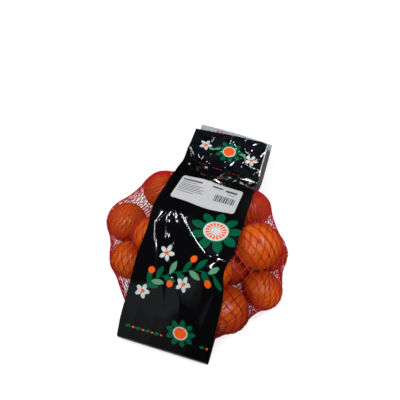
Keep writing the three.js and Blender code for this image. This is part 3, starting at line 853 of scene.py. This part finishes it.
# Label: a white paper sticker with rounded corners, stuck on the film below the header and bowed along its
# lower edge. It is printed with plain bars and lines, and its fibres show in paper and ink.
LABEL_WIDTH, LABEL_HEIGHT, LABEL_CORNER = 82, 48, 4
LABEL_Y, LABEL_TURN = 28, -0.05
LABEL_GAP, LABEL_THICKNESS, LABEL_BLUR = 0.25, 0.15, 2
LABEL_BOW, LABEL_BOW_X, LABEL_BOW_REACH = 3.5, 8, 22
LABEL_BARS = [  # left, low, width and height
    (-38, 15, 26, 3.4), (2, 15, 14, 3.4), (20, 13, 15, 4), (24, 8, 10, 1), (-38, 11, 20, 1), (-38, 7, 30, 1),
    (-38, 4, 26, 1), (-38, 1, 33, 1), (-38, -2, 30, 1), (-38, -5, 33, 1), (-38, -9, 22, 1),
]
LABEL_BARS += [(10 + x, -9, 1, 12) for x in (0, 2, 3, 5, 7, 8, 10, 12, 13, 15, 16, 18, 20, 22, 23, 25)]
LABEL_FINISHES = (  # name, colour, and the darker and the lighter colour of its fibres
    ("label_paper", (0.485, 0.49, 0.495), (0.455, 0.46, 0.465), (0.515, 0.52, 0.525)),
    ("label_ink", (0.07, 0.07, 0.075), (0.055, 0.055, 0.06), (0.085, 0.085, 0.09)),
)
FIBRE_SCALE, FIBRE_STRENGTH, FIBRE_DEPTH = 1500.0, 0.3, 0.0001
film_front = BVHTree.FromPolygons(outer.reshape(-1, 3).tolist(), grid_faces(rows, columns).tolist())
label_x = np.linspace(-LABEL_WIDTH / 2, LABEL_WIDTH / 2, LABEL_WIDTH + 1)
label_y = np.linspace(-LABEL_HEIGHT / 2, LABEL_HEIGHT / 2, LABEL_HEIGHT + 1)
flat_x, flat_y = np.meshgrid(label_x, label_y)
in_corner = [np.clip((np.abs(flat) - half + LABEL_CORNER) / LABEL_CORNER, 0, 1)
             for flat, half in ((flat_x, LABEL_WIDTH / 2), (flat_y, LABEL_HEIGHT / 2))]
round_x = flat_x - np.sign(flat_x) * LABEL_CORNER * in_corner[0] * (1 - np.sqrt(1 - in_corner[1] ** 2 / 2))
round_y = flat_y - np.sign(flat_y) * LABEL_CORNER * in_corner[1] * (1 - np.sqrt(1 - in_corner[0] ** 2 / 2))
label_bow = LABEL_BOW * np.exp(-((round_x - LABEL_BOW_X) / LABEL_BOW_REACH) ** 2)
round_y -= label_bow * smooth_step(0, -LABEL_HEIGHT / 2, round_y)
placed_x = round_x * np.cos(LABEL_TURN) - round_y * np.sin(LABEL_TURN)
placed_y = LABEL_Y + round_x * np.sin(LABEL_TURN) + round_y * np.cos(LABEL_TURN)
placed_z = np.array([height_over(film_front, x, y) for x, y in zip(placed_x.ravel(), placed_y.ravel())])
placed_z = blurred(placed_z.reshape(flat_x.shape), LABEL_BLUR) + LABEL_GAP
label_under = np.stack([placed_x, placed_y, placed_z], -1)
label_over = label_under + np.array([0, 0, LABEL_THICKNESS])
label_faces = sheet_faces(*flat_x.shape)
middle_x, middle_y = label_x[:-1] + 0.5, label_y[:-1, None] + 0.5
has_ink = np.zeros((LABEL_HEIGHT, LABEL_WIDTH), bool)
for left, low, width, height in LABEL_BARS:
    has_ink |= (middle_x > left) & (middle_x < left + width) & (middle_y > low) & (middle_y < low + height)
label_materials = []
for name, colour, dark, light in LABEL_FINISHES:
    finish = add_material(name, colour, roughness=0.5, specular=0.3)
    fibres = add_node(finish, "TexNoise", {
        "Vector": place_on(finish), "Scale": FIBRE_SCALE, "Detail": 3.0}).outputs["Fac"]
    set_input(finish, "Base Color", mixed(finish, fibres, dark, light))
    set_bump(finish, fibres, FIBRE_STRENGTH, FIBRE_DEPTH)
    label_materials.append(finish)
label = add_piece("label", np.concatenate([label_over, label_under]).reshape(-1, 3), label_faces.tolist(),
                  *label_materials)
label_inks = np.zeros(len(label_faces), int)
label_inks[:has_ink.size] = has_ink.ravel()
label.data.polygons.foreach_set("material_index", label_inks)
label.data.set_sharp_from_angle(angle=RIM_ANGLE)
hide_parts("price_label")


# Studio: a plain near-white floor, soft light from above and a camera at the photo's angle, in metres. Of the
# floor only a strip in front of the fold is mirrored in the shiny film, and some lights are for it alone.
FLOOR_GLOW, SHADED_GLOW = 0.18, 0.03  # the floor is dimmer between the fruit on the right
SHADE_MIDDLE, SHADE_REACH, SHADE_EDGE = (0.060, -0.045, 0), (0.060, 0.055, 1), (0.475, 0.575)
FLOOR_Z, FLOOR_REACH = -0.0006, 6
STRIP_LEFT, STRIP_RIGHT, STRIP_NEAR, STRIP_FAR = -0.075, 0.057, -0.26, -0.156
FLOOR_PIECES = (  # name, left, right, near and far
    ("floor_strip", STRIP_LEFT, STRIP_RIGHT, STRIP_NEAR, STRIP_FAR),
    ("floor_front", STRIP_LEFT, STRIP_RIGHT, -FLOOR_REACH, STRIP_NEAR),
    ("floor_left", -FLOOR_REACH, STRIP_LEFT, -FLOOR_REACH, STRIP_FAR),
    ("floor_right", STRIP_RIGHT, FLOOR_REACH, -FLOOR_REACH, STRIP_FAR),
    ("floor_back", -FLOOR_REACH, FLOOR_REACH, STRIP_FAR, FLOOR_REACH),
)
floor_material = add_material("studio_floor", (0.90, 0.90, 0.90), roughness=0.9, specular=0.1)
floor_shader = floor_material.node_tree.nodes["Principled BSDF"]
floor_shader.inputs["Emission Color"].default_value = (1, 1, 1, 1)
shade_size = [2 * reach for reach in SHADE_REACH]
from_shade = add_node(floor_material, "Mapping", {
    "Vector": place_on(floor_material), "Location": SHADE_MIDDLE, "Scale": shade_size},
    vector_type="TEXTURE").outputs["Vector"]
shade = add_node(floor_material, "TexGradient", {"Vector": from_shade}, gradient_type="SPHERICAL")
glow = add_node(floor_material, "MapRange", {
    0: shade.outputs["Fac"], 1: SHADE_EDGE[0], 2: SHADE_EDGE[1], 3: FLOOR_GLOW, 4: SHADED_GLOW})
set_input(floor_material, "Emission Strength", glow.outputs[0])
for name, left, right, near, far in FLOOR_PIECES:
    floor_mesh = bpy.data.meshes.new(name)
    corners = [(left, near), (right, near), (right, far), (left, far)]
    floor_mesh.from_pydata([(x, y, FLOOR_Z) for x, y in corners], [], [(0, 1, 2, 3)])
    floor_mesh.materials.append(floor_material)
    floor = bpy.data.objects.new(name, floor_mesh)
    bpy.context.scene.collection.objects.link(floor)
    floor.visible_glossy = name == "floor_strip"
    floor.visible_diffuse = False

LIGHT_DISTANCE, SOFT_LIGHT_SIZE = 1.35, 0.9
SOFT_LIGHTS = (("left", -85, 42, 10), ("right", 76, 42, 9.5), ("front", -158, 40, 1.5))
WHITE, COOL_WHITE, SKY_BLUE = (1, 1, 1), (0.9, 0.95, 1), (0.45, 0.65, 1)
FILM_LIGHTS = (  # what add_light asks for, then a colour
    ("low_strip", 12, 4, 0.47, 0.05, 5, WHITE), ("right_strip", 12, 21, 0.40, 0.05, 4.4, WHITE),
    ("left_strip", -95, 13, 1.9, 0.05, 19, WHITE), ("back_strip", -47, 22, 0.72, 0.06, 8, WHITE),
    ("high_strip", 21, 50, 0.165, 0.165, 6.1, WHITE), ("side_strip", 75, 30, 0.25, 0.06, 2.8, WHITE),
    ("back_card", -10, 46, 0.8, 0.5, 0.22, SKY_BLUE),
    ("left_card_1", -160, 14, 0.71, 0.7, 0.15, COOL_WHITE),
    ("left_card_2", -157, 14, 0.57, 0.7, 0.12, COOL_WHITE),
    ("left_card_3", -154, 14, 0.43, 0.7, 0.09, COOL_WHITE),
)


def add_light(name, heading, rise, length, width, power):
    """An oblong light, level along its length, that faces the pack from a heading and a height in degrees."""
    lamp = bpy.data.lights.new(name, "AREA")
    lamp.shape = "RECTANGLE"
    lamp.size, lamp.size_y, lamp.energy = length, width, power
    light = bpy.data.objects.new(name, lamp)
    heading, rise = np.radians([heading, rise])
    way = Vector((np.sin(heading) * np.cos(rise), np.cos(heading) * np.cos(rise), np.sin(rise)))
    light.location = LIGHT_DISTANCE * way
    light.rotation_mode = "QUATERNION"
    light.rotation_quaternion = way.to_track_quat("Z", "Y")
    bpy.context.scene.collection.objects.link(light)
    return light


def glint_only_on(light, receivers):
    """Lets a light show only as a glint, on the pieces of one collection."""
    light.visible_diffuse = False
    light.light_linking.receiver_collection = receivers


add_light("key", 159, 70, 0.16, 0.16, 7)
for name, heading, rise, power in SOFT_LIGHTS:
    soft_light = add_light(name, heading, rise, SOFT_LIGHT_SIZE, SOFT_LIGHT_SIZE, power)
    soft_light.visible_glossy = False
only_fruit = bpy.data.collections.new("only_fruit")
only_fruit.objects.link(clementines)
glint_only_on(add_light("glint", -160, 48, 0.11, 0.11, 3), only_fruit)
only_film = bpy.data.collections.new("only_film")
only_film.objects.link(film_band)
for *light_values, colour in FILM_LIGHTS:
    film_light = add_light(*light_values)
    film_light.data.color = colour
    glint_only_on(film_light, only_film)

WORLD_COLOUR = (0.28, 0.28, 0.28, 1)
world = bpy.data.worlds.new("studio")
world.use_nodes = True
world.node_tree.nodes["Background"].inputs["Color"].default_value = WORLD_COLOUR
world.cycles_visibility.glossy = False
bpy.context.scene.world = world
bpy.context.scene.view_settings.view_transform = "Standard"

AZIMUTH, ELEVATION, ROLL = np.radians([17.5, 59.5, -1.0])
CAMERA_PLACE, LENS, SENSOR_WIDTH = (0.0782, -0.2518, 0.5427), 40, 36
back_way = Vector((np.sin(AZIMUTH) * np.cos(ELEVATION), -np.cos(AZIMUTH) * np.cos(ELEVATION),
                   np.sin(ELEVATION)))
right_way = Vector((np.cos(AZIMUTH), np.sin(AZIMUTH), 0))
up_way = back_way.cross(right_way)
turned_right = np.cos(ROLL) * right_way + np.sin(ROLL) * up_way
turned_up = np.cos(ROLL) * up_way - np.sin(ROLL) * right_way
camera_data = bpy.data.cameras.new("camera")
camera_data.lens, camera_data.sensor_width = LENS, SENSOR_WIDTH
camera = bpy.data.objects.new("camera", camera_data)
camera.matrix_world = Matrix((turned_right, turned_up, back_way)).transposed().to_4x4()
camera.location = CAMERA_PLACE
bpy.context.scene.collection.objects.link(camera)
bpy.context.scene.camera = camera
